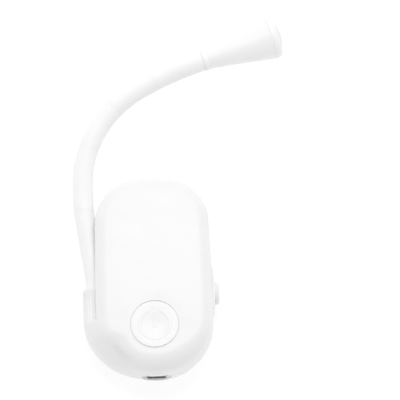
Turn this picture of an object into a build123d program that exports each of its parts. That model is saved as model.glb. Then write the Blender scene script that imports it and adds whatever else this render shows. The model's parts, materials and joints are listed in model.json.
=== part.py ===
from build123d import *
from math import cos, radians, sin, sqrt, tan
import os

# Clip-on reading lamp, lying on its back on the clip's jaw. Millimetres.
# +Z comes out of the front face, +Y runs to the top of the lamp, +X to its right.
# The origin is the centre of the lamp body's outline, on the jaw's flat back face.

os.makedirs("parts", exist_ok=True)

# ---------------------------------------------------------------- driving dimensions
# Lamp body in plan: round bottom end, gently tapered sides, flatter top end
body_width = 50.0
body_length = 88.0
body_height = 28.0
side_taper = 1.0
crown_radius = 38.0
shoulder_radius = 20.0
wall = 1.6

# Front face: slightly domed, rounded all round
dome_radius = 420.0
dome_below_top = 52.0
face_edge_radius = 5.0

# Clip: jaw plate, pads, and the wedge of space behind the housing that lets the jaw swing
jaw_thickness = 3.5
jaw_inset = 2.0
jaw_edge_radius = 1.2
pad_thickness = 1.7
pad_gap = 0.2
wedge_rise = 9.5
rear_edge_radius = 2.6
pad_length = 24.0
pad_width = 30.0
pad_setback = 1.0
pad_edge_margin = 3.0

# Hinge of the clip; its height above the centre of the round bottom end
hinge_above_end = 12.5
hinge_rise = 5.4
pin_diameter = 3.0
pin_clearance = 0.05
pin_chamfer = 0.3
hinge_cap_edge = 1.0
lug_radius = 4.2
lug_thickness = 3.0
lug_spacing = 19.0
trough_clearance = 0.5
trough_length = 14.0
hinge_cap_radius = 5.0
hinge_cap_stand = 2.9
fairing_radius = 45.0
fairing_stand = 1.3
fairing_depth = 2.0
spring_wire = 0.9
spring_turns = 7
spring_pitch = 1.3
spring_clearance = 0.4

# Gooseneck: silicone sleeve over a wound steel core with two leads inside
neck_diameter = 8.7
core_diameter = 5.2
core_bore = 3.0
lead_diameter = 1.2
lead_gap = 0.1
lead_board_gap = 0.35
neck_inset = 0.4
collar_wall = 1.55
collar_length = 16.4
collar_flutes = 24
flute_radius = 0.45
channel_clearance = 0.7
socket_clearance = 0.1

# Neck centreline from the collar's mouth: length and left turn of each tangent stretch
neck_stretches = [(8.0, 8.0), (26.0, 0.0), (8.0, -8.0), (6.0, 0.0), (52.4, -60.0), (31.0, -12.6)]
# Distances from the collar's mouth at which the neck bends
bend_stations = [18.0, 54.0, 76.0, 98.0, 118.0]
bend_range = 30.0
bend_clearance = 0.35
bend_web = 1.2
sleeve_short = 2.0
core_tail = 5.0
core_head_reach = 8.0

# Socket bulge at the lower left: how much wider than the round end, and its places above it
bulge_extra_radius = 2.0
bulge_margin = 0.2
bulge_above_end = 3.0
collar_above_bulge = 12.0
bulge_edge_radius = 5.0

# Head: a cone that widens to a bezel with a domed lens
head_length = 36.0
head_base_step = 0.35
head_base_edge = 0.6
head_tip_radius = 9.1
head_base_flare = 3.0
bezel_length = 5.0
head_wall = 1.4
lens_radius = 6.6
lens_rise = 1.6
tip_edge_length = 2.6

# Power button, switch and circuit board; the button is below the round end's centre
button_below_end = 5.2
button_diameter = 20.2
button_gap = 0.3
button_sink = 0.15
button_travel = 0.7
button_flange = 1.3
button_skirt = 1.2
button_flange_thickness = 1.0
button_stem_radius = 2.4
button_stem_root = 1.5
dish_radius = 60.0
dish_depth = 0.7
symbol_radius = 6.4
symbol_width = 1.2
symbol_gap = 5.0
symbol_bar = 7.0
symbol_bar_rise = 2.0
symbol_rise = 0.3
symbol_root = 0.5
board_thickness = 1.0
receptacle_width = 8.94
receptacle_height = 3.26
receptacle_length = 7.35
receptacle_recess = 0.4
port_pocket_width = 13.0
port_pocket_height = 5.4
port_pocket_depth = 1.2
switch_size = 6.0
switch_height = 3.5
switch_corner = 0.5
plunger_diameter = 3.5

# Battery
battery_width = 30.0
battery_length = 32.0
battery_thickness = 4.4
battery_edge_radius = 1.2
battery_rib_x = 8.0
battery_rib_width = 1.2
battery_boss_gap = 0.6
foam_margin = 3.0
foam_thickness = 0.5

# Screws
screw_diameter = 2.0
screw_length = 6.0
screw_head_diameter = 3.8
screw_head_height = 1.3
boss_diameter = 5.4
head_seat_depth = 3.0
screw_hole_clearance = 0.1
screw_head_clearance = 0.2
screw_end_gap = 0.2
screw_cross_length = 2.2
screw_cross_width = 0.5
screw_cross_depth = 0.6
screw_edge = 5.7
top_screw_angle = 52.0
bottom_screw_angle = 45.6

# ---------------------------------------------------------------- heights and places
neck_radius = neck_diameter / 2
collar_radius = neck_radius + collar_wall
rear_height = jaw_thickness + 2 * pad_thickness + pad_gap
neck_height = rear_height + collar_radius
seam_clearance = 0.3
parting_height = neck_height + collar_radius + seam_clearance
hinge_height = rear_height + hinge_rise
end_radius = body_width / 2
bottom_y = -body_length / 2
top_y = body_length / 2
end_centre_y = bottom_y + end_radius
dome_centre_y = top_y - dome_below_top
dome_centre_height = body_height - dome_radius
crown_centre_y = top_y - crown_radius
# The sides are long arcs, tangent to the round end, that draw in by the taper at the top
taper_rise = crown_centre_y + sqrt(crown_radius**2 - (end_radius - side_taper) ** 2) - end_centre_y
side_radius = (side_taper**2 + taper_rise**2) / (2 * side_taper)
side_centre = Vector(end_radius - side_radius, end_centre_y)
neck_x = neck_inset - end_radius
bulge_radius = end_radius + bulge_extra_radius
bulge_x = neck_x - collar_radius - bulge_margin + bulge_radius
bulge_y = end_centre_y + bulge_above_end
collar_top_y = bulge_y + collar_above_bulge
collar_bottom_y = collar_top_y - collar_length
hinge_y = end_centre_y + hinge_above_end
button_y = end_centre_y - button_below_end
board_bottom = neck_height + lead_diameter + lead_gap / 2 + lead_board_gap
board_top = board_bottom + board_thickness
port_height = board_bottom - receptacle_height / 2
channel_radius = neck_radius + channel_clearance
socket_radius = collar_radius + socket_clearance
lug_x = lug_spacing / 2
trough_half = lug_x + lug_thickness / 2 + trough_clearance
trough_top = hinge_height + lug_radius + trough_clearance
trough_wall = wall - 0.2
pin_radius = pin_diameter / 2
lamp_box = 3 * body_length


def dome_drop(distance):
    """How far the domed face lies below its highest point, at a distance from that point."""
    return dome_radius - sqrt(dome_radius**2 - distance**2)


# ---------------------------------------------------------------- shared shapes
def shoulder_places():
    """Centre of the right shoulder arc, and the directions in which it meets side and crown."""
    reach = side_radius - shoulder_radius
    crown_reach = crown_radius - shoulder_radius
    to_crown = Vector(0, crown_centre_y) - side_centre
    along = (reach**2 - crown_reach**2 + to_crown.length**2) / (2 * to_crown.length)
    across = sqrt(reach**2 - along**2)
    ahead = to_crown.normalized()
    centre = side_centre + ahead * along + Vector(-ahead.Y, ahead.X) * across
    to_side = (centre - side_centre).normalized()
    to_top = (centre - Vector(0, crown_centre_y)).normalized()
    return centre, to_side, to_top


def body_outline(inset):
    """Plan outline of the housing, moved inwards by inset."""
    centre, to_side, to_top = shoulder_places()
    reach = shoulder_radius - inset
    side_x = end_radius - inset
    low = centre + to_side * reach
    middle = centre + (to_side + to_top).normalized() * reach
    high = centre + to_top * reach
    with BuildSketch() as outline:
        with BuildLine():
            ThreePointArc((-side_x, end_centre_y), (0, bottom_y + inset), (side_x, end_centre_y))
            ThreePointArc((high.X, high.Y), (0, top_y - inset), (-high.X, high.Y))
            for side in (-1, 1):
                TangentArc((side * side_x, end_centre_y), (side * low.X, low.Y), tangent=(0, 1))
                ThreePointArc(
                    (side * low.X, low.Y), (side * middle.X, middle.Y), (side * high.X, high.Y)
                )
        make_face()
    return outline.sketch


def front_form(inset):
    """The front half of the body as a solid, moved inwards by inset."""
    with BuildPart() as form:
        with BuildSketch(Plane.XY.offset(parting_height)):
            add(body_outline(inset))
        extrude(amount=body_height - parting_height)
        with Locations((0, dome_centre_y, dome_centre_height)):
            Sphere(dome_radius - inset, rotation=(90, 0, 0), mode=Mode.INTERSECT)
        fillet(form.faces().sort_by(Axis.Z)[-1].edges(), radius=face_edge_radius - inset)
    return form.part


def rear_form(inset):
    """The rear half of the body without the socket bulge, moved inwards by inset."""
    low = rear_height + inset
    slope_y = hinge_y + trough_length / 2
    with BuildPart() as form:
        with BuildSketch(Plane.XY.offset(low)):
            add(body_outline(inset))
        extrude(amount=parting_height - low)
        # The back is level behind the mouth and rises from the hinge to the top end
        with BuildSketch(Plane.YZ):
            with BuildLine():
                Polyline((slope_y, low), (top_y, low + wedge_rise), (top_y, low), (slope_y, low))
            make_face()
        extrude(amount=body_width, both=True, mode=Mode.SUBTRACT)
        if inset < rear_edge_radius:
            below = form.faces().filter_by(lambda face: face.normal_at().Z < -0.5)
            crease = form.edges().filter_by(Axis.X)
            rims = [edge for edge in below.edges() if edge not in crease]
            fillet(rims, radius=rear_edge_radius - inset)
    return form.part


def bulge_form(inset):
    """The round bulge that carries the neck socket, moved inwards by inset."""
    with BuildPart() as form:
        with BuildSketch(Plane.XY.offset(rear_height + inset)):
            with Locations((bulge_x, bulge_y)):
                Circle(bulge_radius - inset)
        extrude(amount=parting_height - rear_height - 2 * inset)
        rims = form.edges().filter_by(GeomType.CIRCLE).sort_by(Axis.Z)
        fillet(rims[-1], radius=bulge_edge_radius - inset)
        fillet(rims[0], radius=rear_edge_radius - inset)
    return form.part


def channel_form(extra):
    """The channel that the collar and neck lie in, open to the left, made larger by extra."""
    foot = collar_bottom_y - extra
    neck_centre = Plane(origin=(neck_x, foot, neck_height), x_dir=(0, 0, 1), z_dir=(0, 1, 0))
    run = top_y + channel_radius - foot
    with BuildPart() as form:
        with BuildSketch(neck_centre):
            Circle(channel_radius + extra)
        extrude(amount=run)
        with BuildSketch(neck_centre):
            Circle(socket_radius + extra)
        extrude(amount=collar_length + 2 * extra)
        with BuildSketch(Plane.XY.offset(rear_height - wall)):
            with Locations((neck_x + extra, foot)):
                Rectangle(body_width, run, align=(Align.MAX, Align.MIN))
        extrude(amount=parting_height - rear_height + 2 * wall)
    return form.part


def trough_form(extra):
    """The trough across the back that the jaw's lugs swing in, made larger by extra."""
    with BuildPart() as form:
        with BuildSketch(Plane.XY.offset(rear_height - wall)):
            with Locations((0, hinge_y)):
                Rectangle(2 * (trough_half + extra), trough_length + 2 * extra)
        extrude(amount=trough_top + extra - rear_height + wall)
    return form.part


# ---------------------------------------------------------------- neck centreline
def neck_pose(distance):
    """Point and left-turned heading of the neck's centreline, from the collar's mouth."""
    x, y, heading = neck_x, collar_top_y, 0.0
    if distance <= 0:
        return x, y + distance, heading
    left = distance
    for length, turn in neck_stretches:
        used = min(left, length)
        step = turn * used / length
        middle = radians(heading + step / 2)
        bow = radians(step / 2)
        chord = used if abs(step) < 1e-9 else used * sin(bow) / bow
        x -= chord * sin(middle)
        y += chord * cos(middle)
        heading += step
        left -= used
        if left <= 0:
            return x, y, heading
    return x - left * sin(radians(heading)), y + left * cos(radians(heading)), heading


def neck_place(distance):
    """The neck's centre point at a distance from the collar's mouth."""
    x, y, heading = neck_pose(distance)
    return Vector(x, y, neck_height)


def neck_plane(distance):
    """Plane across the neck at a distance from the collar's mouth, facing along it."""
    x, y, heading = neck_pose(distance)
    ahead = (-sin(radians(heading)), cos(radians(heading)), 0)
    return Plane(origin=(x, y, neck_height), x_dir=(0, 0, 1), z_dir=ahead)


def neck_path(start, end):
    """The neck's centreline between two distances: straight runs and tangent arcs."""
    marks = [0.0]
    for length, turn in neck_stretches:
        marks.append(marks[-1] + length)
    stops = [start] + [mark for mark in marks if start + 0.01 < mark < end - 0.01] + [end]
    with BuildLine() as path:
        for low, high in zip(stops, stops[1:]):
            a, b = neck_place(low), neck_place(high)
            if abs(neck_pose(low)[2] - neck_pose(high)[2]) < 1e-6:
                Line(a, b)
            else:
                ThreePointArc(a, neck_place((low + high) / 2), b)
    return path.wire()


neck_length = sum(length for length, turn in neck_stretches)
bend_stretch = neck_radius * tan(radians(bend_range)) + 2 * bend_clearance
cup_depth = neck_radius + bend_clearance
core_gap = cup_depth + bend_web
sleeve_start = -collar_length + sleeve_short
core_start = -collar_length - core_tail
core_end = neck_length + core_head_reach
sleeve_marks = [sleeve_start] + bend_stations + [neck_length]
core_marks = [core_start] + bend_stations + [core_end]

# ---------------------------------------------------------------- screw places
# The upper pair lies inside the shoulder arcs, the lower pair inside the round end
shoulder_centre = shoulder_places()[0]
top_screw_reach = shoulder_radius - screw_edge
top_screw = (
    shoulder_centre.X + top_screw_reach * cos(radians(top_screw_angle)),
    shoulder_centre.Y + top_screw_reach * sin(radians(top_screw_angle)),
)
bottom_screw_reach = end_radius - screw_edge
bottom_screw = (
    bottom_screw_reach * cos(radians(bottom_screw_angle)),
    end_centre_y - bottom_screw_reach * sin(radians(bottom_screw_angle)),
)
screw_places = [(side * x, y) for x, y in (top_screw, bottom_screw) for side in (-1, 1)]
head_seat = parting_height - head_seat_depth
screw_top = head_seat + screw_length
board_screw_diameter = 1.7
board_screw_length = 5.0
board_screw_head = 3.2
board_screw_head_height = 1.0
board_boss = 4.2
board_edge_gap = 0.6
board_boss_gap = 0.8
board_socket_gap = 1.5
board_screw_inset = (4.5, 3.1)
board_front_y = hinge_y - trough_length / 2 - trough_wall - board_edge_gap
board_wide = 2 * (-neck_x - socket_radius - wall - board_socket_gap)
board_screw_x = board_wide / 2 - board_screw_inset[0]
board_screw_y = board_front_y - board_screw_inset[1]
board_screw_places = [(-board_screw_x, board_screw_y), (board_screw_x, board_screw_y)]

# ---------------------------------------------------------------- housing shells
front_outer = front_form(0)
front_inner = front_form(wall)
rear_outer = rear_form(0)
rear_inner = rear_form(wall)
bulge_outer = bulge_form(0)
bulge_inner = bulge_form(wall)
channel = channel_form(0)
channel_jacket = channel_form(wall)
trough = trough_form(0)
trough_jacket = trough_form(trough_wall)

button_centre = (0, button_y)
button_hole_radius = button_diameter / 2 + button_gap
button_face = body_height - dome_drop(button_y - dome_centre_y)

with BuildPart() as front_cavity:
    add(front_inner)
    with BuildSketch(Plane.XY.offset(parting_height)):
        with Locations(screw_places):
            Circle(boss_diameter / 2)
    extrude(amount=body_height - parting_height, mode=Mode.SUBTRACT)

with BuildPart() as front_housing:
    add(front_outer)
    add(front_cavity.part, mode=Mode.SUBTRACT)
    with BuildSketch(Plane.XY.offset(parting_height)):
        with Locations(button_centre):
            Circle(button_hole_radius)
    extrude(amount=body_height, mode=Mode.SUBTRACT)
    with BuildSketch(Plane.XY.offset(parting_height)):
        with Locations(screw_places):
            Circle(screw_diameter / 2)
    extrude(amount=screw_top - parting_height, mode=Mode.SUBTRACT)
front_housing.part.label = "front_housing"
export_step(front_housing.part, "parts/front_housing.step")

port_block_width = port_pocket_width + 2 * wall
port_window_wall = 0.8
port_block_depth = wall + port_pocket_depth + port_window_wall
port_block_height = port_pocket_height + 2.0
battery_bottom = trough_top + wall
battery_top_y = top_screw[1] - boss_diameter / 2 - battery_boss_gap
battery_y = battery_top_y - battery_length / 2
pin_boss_wall = 2.0

with BuildPart() as rear_cavity:
    add(rear_inner)
    add(bulge_inner)
    add(channel_jacket, mode=Mode.SUBTRACT)
    add(trough_jacket, mode=Mode.SUBTRACT)
    with BuildSketch(Plane.YZ):
        with Locations((hinge_y, hinge_height)):
            Circle(pin_radius + pin_boss_wall)
    extrude(amount=body_width, both=True, mode=Mode.SUBTRACT)
    with BuildSketch(Plane.XY.offset(rear_height)):
        with Locations(screw_places):
            Circle(boss_diameter / 2)
    extrude(amount=body_height, mode=Mode.SUBTRACT)
    with BuildSketch(Plane.XY.offset(rear_height)):
        with Locations(board_screw_places):
            Circle(board_boss / 2)
    extrude(amount=board_bottom - rear_height, mode=Mode.SUBTRACT)
    with BuildSketch(Plane.XZ.offset(-bottom_y)):
        with Locations((0, port_height)):
            Rectangle(port_block_width, port_block_height)
    extrude(amount=-port_block_depth, mode=Mode.SUBTRACT)
    with BuildSketch(Plane.XY.offset(rear_height)):
        with Locations((-battery_rib_x, battery_y), (battery_rib_x, battery_y)):
            Rectangle(battery_rib_width, battery_length)
    extrude(amount=battery_bottom - rear_height, mode=Mode.SUBTRACT)

side_plane = Plane(origin=(0, hinge_y, hinge_height), x_dir=(0, 1, 0), z_dir=(1, 0, 0))
cap_seat_depth = 1.2
cap_seat = end_radius - cap_seat_depth
pin_end_gap = 0.4
pin_right = cap_seat - pin_end_gap
pin_blind_depth = 1.4
pin_left = -trough_half - wall - pin_blind_depth
pin_bore_end = 0.3
end_plane = Plane(origin=(0, bottom_y, port_height), x_dir=(1, 0, 0), z_dir=(0, -1, 0))
ferrule_wall = 0.7
ferrule_radius = core_diameter / 2 + ferrule_wall
ferrule_length = 2.8
ferrule_end_gap = 0.2
receptacle_clearance = 0.2

with BuildPart() as rear_housing:
    add(rear_outer)
    add(bulge_outer)
    with BuildSketch(Plane.XY.offset(rear_height)):
        with Locations((end_radius + fairing_stand - fairing_radius, hinge_y)):
            Circle(fairing_radius)
        with Locations((end_radius, hinge_y)):
            Rectangle(2 * fairing_depth, body_width, mode=Mode.INTERSECT)
    extrude(amount=parting_height - rear_height)
    add(rear_cavity.part, mode=Mode.SUBTRACT)
    add(channel, mode=Mode.SUBTRACT)
    add(trough, mode=Mode.SUBTRACT)
    # Pin bore and the recess that its cap presses into
    with BuildSketch(side_plane.offset(pin_left - pin_bore_end)):
        Circle(pin_radius + pin_clearance)
    extrude(amount=body_width, mode=Mode.SUBTRACT)
    with BuildSketch(side_plane.offset(cap_seat)):
        Circle(hinge_cap_radius + socket_clearance)
    extrude(amount=hinge_cap_stand + wall, mode=Mode.SUBTRACT)
    # Screws: clearance hole and counterbore from behind
    with BuildSketch(Plane.XY.offset(head_seat)):
        with Locations(screw_places):
            Circle(screw_diameter / 2 + screw_hole_clearance)
    extrude(amount=head_seat_depth, mode=Mode.SUBTRACT)
    with BuildSketch(Plane.XY.offset(rear_height - wall)):
        with Locations(screw_places):
            Circle(screw_head_diameter / 2 + screw_head_clearance)
    extrude(amount=head_seat - rear_height + wall, mode=Mode.SUBTRACT)
    with BuildSketch(Plane.XY.offset(board_bottom - board_screw_length + board_thickness)):
        with Locations(board_screw_places):
            Circle(board_screw_diameter / 2)
    extrude(amount=board_screw_length, mode=Mode.SUBTRACT)
    # Charging port: outer pocket and the window for the receptacle
    with BuildSketch(end_plane):
        SlotOverall(port_pocket_width, port_pocket_height)
    extrude(amount=-port_pocket_depth, mode=Mode.SUBTRACT)
    with BuildSketch(end_plane):
        SlotOverall(
            receptacle_width + receptacle_clearance, receptacle_height + receptacle_clearance
        )
    extrude(amount=-port_block_depth - wall, mode=Mode.SUBTRACT)
    # Way in for the gooseneck core and the pocket that its ferrule sits in
    with BuildSketch(neck_plane(-collar_length)):
        Circle(core_diameter / 2 + socket_clearance)
    extrude(amount=-wall - ferrule_end_gap, mode=Mode.SUBTRACT)
    with BuildSketch(neck_plane(-collar_length - wall)):
        Circle(ferrule_radius + socket_clearance)
    extrude(amount=-ferrule_length - 2 * ferrule_end_gap - core_tail, mode=Mode.SUBTRACT)
rear_housing.part.label = "rear_housing"
export_step(rear_housing.part, "parts/rear_housing.step")

# ---------------------------------------------------------------- power button and switch
with BuildPart() as button_blank:
    with BuildSketch(Plane.XY.offset(parting_height)):
        with Locations(button_centre):
            Circle(button_diameter / 2)
    extrude(amount=body_height)
    add(front_form(button_sink), mode=Mode.INTERSECT)

plunger_rise = 1.2
switch_base = 0.8
switch_plunger_gap = 0.1
flange_top = button_face - wall - dome_drop(button_diameter) - 2 * button_travel
flange_bottom = flange_top - button_flange_thickness
cap_floor = flange_top + 1.0
plunger_top = board_top + switch_height + plunger_rise
plunger_bottom = board_top + switch_base + switch_plunger_gap + button_travel
dish_floor = button_face - button_sink - dish_depth

with BuildPart() as power_button:
    add(button_blank.part)
    with BuildSketch(Plane.XY.offset(parting_height)):
        with Locations(button_centre):
            Circle(button_diameter / 2 - button_skirt)
    extrude(amount=cap_floor - parting_height, mode=Mode.SUBTRACT)
    with BuildSketch(Plane.XY.offset(parting_height)):
        Rectangle(lamp_box, lamp_box)
    extrude(amount=flange_bottom - parting_height, mode=Mode.SUBTRACT)
    with BuildSketch(Plane.XY.offset(flange_bottom)):
        with Locations(button_centre):
            Circle(button_diameter / 2 + button_flange)
            Circle(button_diameter / 2 - button_skirt, mode=Mode.SUBTRACT)
    extrude(amount=button_flange_thickness)
    with BuildSketch(Plane.XY.offset(plunger_top)):
        with Locations(button_centre):
            Circle(button_stem_radius)
    extrude(amount=flange_top + button_stem_root - plunger_top)
    with Locations((0, button_y, dish_floor + dish_radius)):
        Sphere(dish_radius, rotation=(90, 0, 0), mode=Mode.SUBTRACT)
    # Power symbol: a ring broken at the top by an upright bar
    with BuildSketch(Plane.XY.offset(dish_floor - symbol_root)):
        with Locations(button_centre):
            Circle(symbol_radius + symbol_width / 2)
            Circle(symbol_radius - symbol_width / 2, mode=Mode.SUBTRACT)
        with Locations((0, button_y + symbol_radius)):
            Rectangle(symbol_gap, symbol_gap, mode=Mode.SUBTRACT)
        with Locations((0, button_y + symbol_bar_rise)):
            Rectangle(symbol_width, symbol_bar)
    extrude(amount=symbol_root + 2 * symbol_rise)
power_button.part.label = "power_button"
export_step(power_button.part, "parts/power_button.step")

with BuildPart() as tact_switch:
    with BuildSketch(Plane.XY.offset(board_top)):
        with Locations(button_centre):
            RectangleRounded(switch_size, switch_size, switch_corner)
    extrude(amount=switch_height)
    with BuildSketch(Plane.XY.offset(board_top + switch_base)):
        with Locations(button_centre):
            Circle(plunger_diameter / 2 + switch_plunger_gap)
    extrude(amount=switch_height, mode=Mode.SUBTRACT)
tact_switch.part.label = "tact_switch"
export_step(tact_switch.part, "parts/tact_switch.step")

with BuildPart() as switch_plunger:
    with BuildSketch(Plane.XY.offset(plunger_bottom)):
        with Locations(button_centre):
            Circle(plunger_diameter / 2)
    extrude(amount=plunger_top - plunger_bottom)
switch_plunger.part.label = "switch_plunger"
export_step(switch_plunger.part, "parts/switch_plunger.step")

# ---------------------------------------------------------------- circuit board
board_bottom_y = bottom_y + port_block_depth + board_boss_gap
board_wide_y = bottom_screw[1] + boss_diameter / 2 + board_boss_gap
board_tongue_margin = 5.0
board_narrow = receptacle_width + 2 * board_tongue_margin

with BuildPart() as circuit_board:
    with BuildSketch(Plane.XY.offset(board_bottom)):
        with Locations((0, board_wide_y)):
            Rectangle(board_wide, board_front_y - board_wide_y, align=(Align.CENTER, Align.MIN))
        with Locations((0, board_bottom_y)):
            Rectangle(
                board_narrow, board_wide_y - board_bottom_y, align=(Align.CENTER, Align.MIN)
            )
        with Locations(board_screw_places):
            Circle(board_screw_diameter / 2 + screw_hole_clearance, mode=Mode.SUBTRACT)
    extrude(amount=board_thickness)
circuit_board.part.label = "circuit_board"
export_step(circuit_board.part, "parts/circuit_board.step")

chip_x = 9.0
chip_length = 5.0
chip_width = 4.0
chip_height = 1.0
coil_side = 4.0
coil_height = 2.0
chip_count = 6
chip_pitch = 2.4
chip_row_y = board_bottom_y + 2.6
chip_resistor = (0.9, 1.7, 0.6)

# Charging controller, driver coil and a row of chip resistors
with BuildPart() as board_components:
    with BuildSketch(Plane.XY.offset(board_top)):
        with Locations((-chip_x, button_y)):
            Rectangle(chip_length, chip_width)
    extrude(amount=chip_height)
    with BuildSketch(Plane.XY.offset(board_top)):
        with Locations((chip_x, button_y)):
            Rectangle(coil_side, coil_side)
    extrude(amount=coil_height)
    with BuildSketch(Plane.XY.offset(board_top)):
        with Locations((0, chip_row_y)):
            with GridLocations(chip_pitch, 0, chip_count, 1):
                Rectangle(chip_resistor[0], chip_resistor[1])
    extrude(amount=chip_resistor[2])
board_components.part.label = "board_components"
export_step(board_components.part, "parts/board_components.step")

connector_width = 4.4
connector_depth = 3.2
connector_height = 3.2
connector_edge = 0.5
connector_left = connector_edge - board_wide / 2
lead_turn_y = board_wide_y + (connector_depth - connector_edge) / 2
with BuildPart() as lead_connector:
    with BuildSketch(Plane.XY.offset(board_bottom)):
        with Locations((connector_left, lead_turn_y)):
            Rectangle(connector_width, connector_depth, align=(Align.MIN, Align.CENTER))
    extrude(amount=-connector_height)
lead_connector.part.label = "lead_connector"
export_step(lead_connector.part, "parts/lead_connector.step")

receptacle_face = bottom_y + receptacle_recess
receptacle_sheet = 0.3
receptacle_back = 1.0
tongue_width = 6.7
tongue_thickness = 0.7
tongue_recess = 0.9
with BuildPart() as usb_c_receptacle:
    mouth = Plane(origin=(0, receptacle_face, port_height), x_dir=(1, 0, 0), z_dir=(0, -1, 0))
    with BuildSketch(mouth):
        SlotOverall(receptacle_width, receptacle_height)
    extrude(amount=-receptacle_length)
    with BuildSketch(mouth):
        SlotOverall(
            receptacle_width - 2 * receptacle_sheet, receptacle_height - 2 * receptacle_sheet
        )
    extrude(amount=receptacle_back - receptacle_length, mode=Mode.SUBTRACT)
    with BuildSketch(mouth.offset(-receptacle_length)):
        Rectangle(tongue_width, tongue_thickness)
    extrude(amount=receptacle_length - tongue_recess)
usb_c_receptacle.part.label = "usb_c_receptacle"
export_step(usb_c_receptacle.part, "parts/usb_c_receptacle.step")

# ---------------------------------------------------------------- battery
with BuildPart() as battery_cell:
    with BuildSketch(Plane.XY.offset(battery_bottom)):
        with Locations((0, battery_y)):
            Rectangle(battery_width, battery_length)
    extrude(amount=battery_thickness)
    fillet(battery_cell.edges().filter_by(Axis.Y), radius=battery_edge_radius)
battery_cell.part.label = "battery_cell"
export_step(battery_cell.part, "parts/battery_cell.step")

with BuildPart() as battery_foam:
    with BuildSketch(Plane.XY.offset(battery_bottom + battery_thickness)):
        with Locations((0, battery_y)):
            Rectangle(battery_width - 2 * foam_margin, battery_length - 2 * foam_margin)
    extrude(amount=foam_thickness)
battery_foam.part.label = "battery_foam"
export_step(battery_foam.part, "parts/battery_foam.step")

battery_lead_height = battery_bottom + battery_thickness / 2
battery_lead_inset = 2.3
battery_lead_y = board_front_y - battery_lead_inset
battery_lead_x = (5.0, 7.0)
battery_lead_bend = 3.0
with BuildPart() as battery_leads:
    for lead_x in battery_lead_x:
        with BuildLine() as route:
            FilletPolyline(
                (lead_x, battery_y - battery_length / 2, battery_lead_height),
                (lead_x, battery_lead_y, battery_lead_height),
                (lead_x, battery_lead_y, board_top),
                radius=battery_lead_bend,
            )
        with BuildSketch(Plane(origin=route.line @ 0, z_dir=route.line % 0)):
            Circle(lead_diameter / 2)
        sweep(path=route.wire())
battery_leads.part.label = "battery_leads"
export_step(battery_leads.part, "parts/battery_leads.step")

# ---------------------------------------------------------------- screws
with BuildPart() as housing_screws:
    with BuildSketch(Plane.XY.offset(head_seat - screw_head_height)):
        with Locations(screw_places):
            Circle(screw_head_diameter / 2)
    extrude(amount=screw_head_height)
    with BuildSketch(Plane.XY.offset(head_seat)):
        with Locations(screw_places):
            Circle(screw_diameter / 2)
    extrude(amount=screw_length - screw_end_gap)
    with BuildSketch(Plane.XY.offset(head_seat - screw_head_height)):
        with Locations(screw_places):
            Rectangle(screw_cross_length, screw_cross_width)
            Rectangle(screw_cross_width, screw_cross_length)
    extrude(amount=screw_cross_depth, mode=Mode.SUBTRACT)
housing_screws.part.label = "housing_screws"
export_step(housing_screws.part, "parts/housing_screws.step")

with BuildPart() as board_screws:
    with BuildSketch(Plane.XY.offset(board_top)):
        with Locations(board_screw_places):
            Circle(board_screw_head / 2)
    extrude(amount=board_screw_head_height)
    with BuildSketch(Plane.XY.offset(board_top - board_screw_length + screw_end_gap)):
        with Locations(board_screw_places):
            Circle(board_screw_diameter / 2)
    extrude(amount=board_screw_length)
board_screws.part.label = "board_screws"
export_step(board_screws.part, "parts/board_screws.step")

# ---------------------------------------------------------------- rear jaw of the clip
jaw_short = 3.0
jaw_end_y = bottom_y + jaw_inset + jaw_short
rib_count = 5
rib_pitch = 3.2
rib_length = 24.0
rib_width = 1.4
rib_below_top = 20.0
rib_depth = 0.6
jaw_corner_radius = 5.0

with BuildPart() as jaw_plate:
    with BuildSketch() as jaw_outline:
        add(body_outline(jaw_inset))
        with Locations((0, jaw_end_y)):
            Rectangle(body_width, lamp_box, align=(Align.CENTER, Align.MIN), mode=Mode.INTERSECT)
        fillet(jaw_outline.vertices().group_by(Axis.Y)[0], radius=jaw_corner_radius)
    extrude(amount=jaw_thickness)
    fillet(jaw_plate.faces().sort_by(Axis.Z)[0].edges(), radius=jaw_edge_radius)

with BuildPart() as rear_jaw:
    add(jaw_plate.part)
    for side in (-1, 1):
        with BuildSketch(side_plane.offset(side * lug_x - lug_thickness / 2)):
            Circle(lug_radius)
            Rectangle(
                2 * lug_radius, hinge_height - jaw_thickness / 2, align=(Align.CENTER, Align.MAX)
            )
        extrude(amount=lug_thickness)
    with BuildSketch(side_plane.offset(-body_width)):
        Circle(pin_radius + pin_clearance)
    extrude(amount=2 * body_width, mode=Mode.SUBTRACT)
    with BuildSketch(Plane.XY):
        for rib in range(rib_count):
            with Locations((0, top_y - rib_below_top + rib * rib_pitch)):
                SlotOverall(rib_length, rib_width)
    extrude(amount=rib_depth, mode=Mode.SUBTRACT)
rear_jaw.part.label = "rear_jaw"
export_step(rear_jaw.part, "parts/rear_jaw.step")

# ---------------------------------------------------------------- hinge
with BuildPart() as hinge_pin:
    with BuildSketch(side_plane.offset(pin_left)):
        Circle(pin_radius)
    extrude(amount=pin_right - pin_left)
    chamfer(hinge_pin.edges(), length=pin_chamfer)
hinge_pin.part.label = "hinge_pin"
export_step(hinge_pin.part, "parts/hinge_pin.step")

cap_face = end_radius + hinge_cap_stand
with BuildPart() as hinge_cap:
    with BuildSketch(side_plane.offset(cap_seat)):
        Circle(hinge_cap_radius)
    extrude(amount=cap_face - cap_seat)
    fillet(hinge_cap.faces().sort_by(Axis.X)[-1].edges(), radius=hinge_cap_edge)
hinge_cap.part.label = "hinge_cap"
export_step(hinge_cap.part, "parts/hinge_cap.step")

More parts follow.
